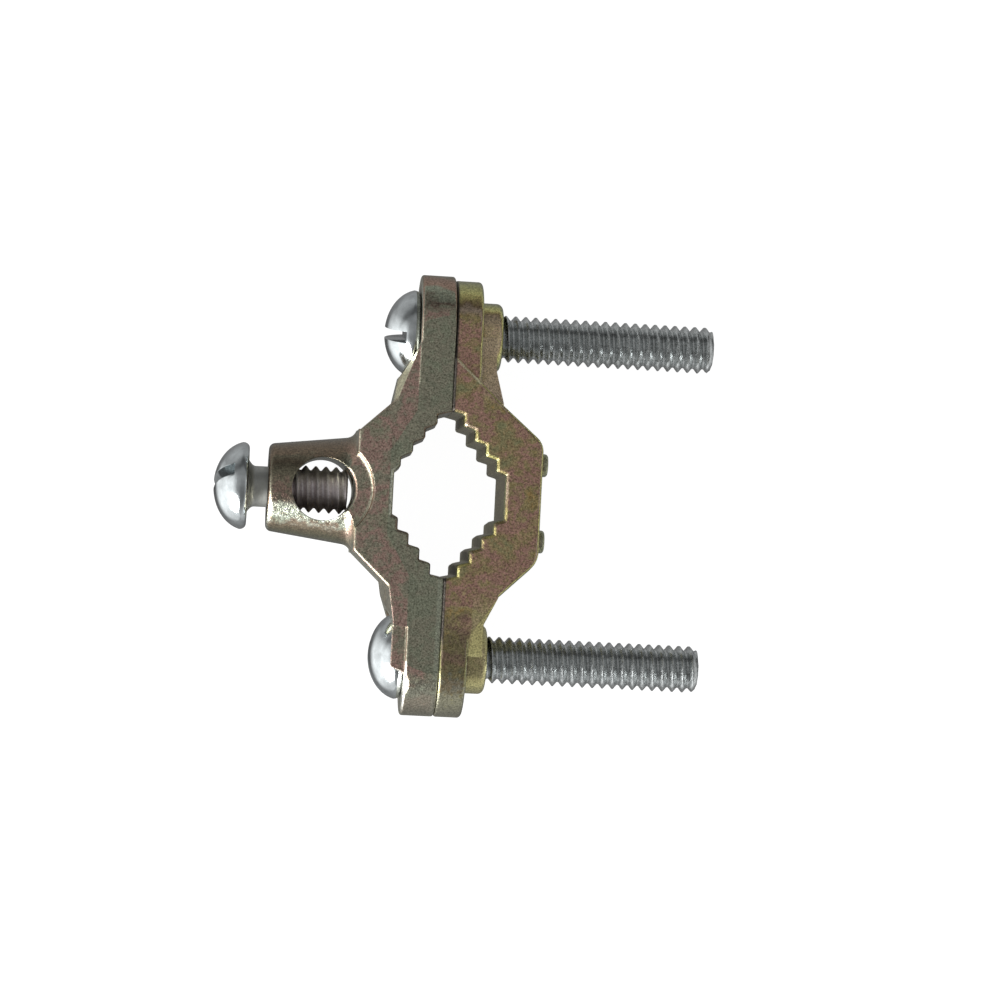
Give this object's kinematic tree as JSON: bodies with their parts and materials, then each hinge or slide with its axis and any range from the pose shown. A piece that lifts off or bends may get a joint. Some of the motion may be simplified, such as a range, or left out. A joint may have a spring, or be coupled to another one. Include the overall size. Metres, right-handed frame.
{
  "type": "pipe grounding clamp",
  "caption": "Cast pipe grounding clamp: a serrated V opening between two jaws drawn together by slotted screws, and a screw terminal for an earth wire.",
  "frame": {"origin": "centre of the pipe opening, on the plane where the jaws meet, level with the lower side faces", "axes": "+Z along the pipe, +X from the wire terminal towards the tips of the clamp screws, +Y from the lower to the upper clamp screw"},
  "size_m": [0.062, 0.0554, 0.014],
  "materials": {
    "chromated_casting": "fine-grained casting with an iridescent yellow chromate coat",
    "zinc_plated_steel": "bright zinc plate"
  },
  "bodies": {
    "terminal_jaw": {"terminal_jaw": "chromated_casting"},
    "threaded_jaw": {"threaded_jaw": "chromated_casting"},
    "upper_clamp_screw": {"upper_clamp_screw": "zinc_plated_steel"},
    "lower_clamp_screw": {"lower_clamp_screw": "zinc_plated_steel"},
    "terminal_screw": {"terminal_screw": "zinc_plated_steel"}
  },
  "joints": [
    {"name": "jaw_slide", "type": "slide", "parent": "terminal_jaw", "child": "threaded_jaw", "axis": [1, 0, 0], "range_m": [0, 0.026]},
    {"name": "upper_clamp_screw_turn", "type": "hinge", "parent": "terminal_jaw", "child": "upper_clamp_screw", "pos_m": [0, 0.02025, 0.007], "axis": [1, 0, 0], "range_deg": [-7374, 0]},
    {"name": "lower_clamp_screw_turn", "type": "hinge", "parent": "terminal_jaw", "child": "lower_clamp_screw", "pos_m": [0, -0.02025, 0.007], "axis": [1, 0, 0], "range_deg": [-7374, 0]},
    {"name": "terminal_screw_travel", "type": "slide", "parent": "terminal_jaw", "child": "terminal_screw", "axis": [1, 0, 0], "range_m": [-0.009, 0.0005]}
  ],
  "couplings": [
    {"joint": "upper_clamp_screw_turn", "follows": "jaw_slide", "rad_per_m": -4947.4},
    {"joint": "lower_clamp_screw_turn", "follows": "jaw_slide", "rad_per_m": -4947.4}
  ]
}
